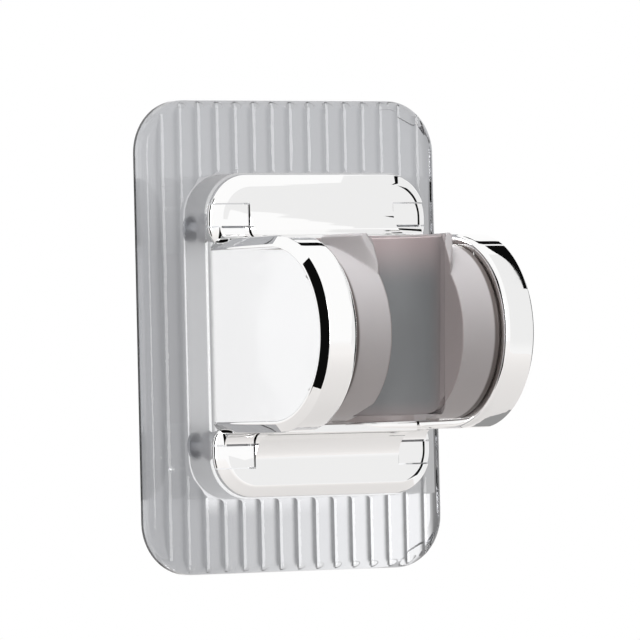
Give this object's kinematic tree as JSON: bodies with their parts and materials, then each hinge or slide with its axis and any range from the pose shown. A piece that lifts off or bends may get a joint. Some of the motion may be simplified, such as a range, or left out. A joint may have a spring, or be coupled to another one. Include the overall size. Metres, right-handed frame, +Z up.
{
  "type": "shower head holder",
  "caption": "Wall-mounted holder for a hand shower: reeded clear plate, bright feet and hoops, and a tilting cradle with an open front that takes the handset's cone.",
  "frame": {"origin": "middle of the adhesive sheet's wall face", "axes": "+X to the right seen from the front, +Y into the wall, +Z up; the front of the holder is -Y"},
  "size_m": [0.072, 0.0575, 0.098],
  "materials": {
    "clear_plastic": "clear, polished",
    "adhesive_gel": "clear gel",
    "bright_plating": "mirror",
    "screw_steel": "satin",
    "slide_plastic": "natural",
    "mauve_plastic": "satin",
    "soft_rubber": "matt"
  },
  "bodies": {
    "base": {"adhesive_sheet": "adhesive_gel", "wall_plate": "clear_plastic", "upper_foot": "bright_plating", "lower_foot": "bright_plating", "left_hoop": "bright_plating", "right_hoop": "bright_plating", "upper_foot_screw_1": "screw_steel", "upper_foot_screw_2": "screw_steel", "lower_foot_screw_1": "screw_steel", "lower_foot_screw_2": "screw_steel", "left_hoop_screw_1": "screw_steel", "left_hoop_screw_2": "screw_steel", "right_hoop_screw_1": "screw_steel", "right_hoop_screw_2": "screw_steel", "left_guide": "slide_plastic", "right_guide": "slide_plastic", "left_guide_screw_1": "screw_steel", "left_guide_screw_2": "screw_steel", "right_guide_screw_1": "screw_steel", "right_guide_screw_2": "screw_steel", "left_friction_pad": "soft_rubber", "right_friction_pad": "soft_rubber"},
    "tilting_cradle": {"cradle": "mauve_plastic", "bore_liner": "soft_rubber"}
  },
  "joints": [
    {"name": "cradle_tilt", "type": "hinge", "parent": "base", "child": "tilting_cradle", "pos_m": [0, -0.0375, 0], "axis": [1, 0, 0], "range_deg": [-25, 25]}
  ]
}
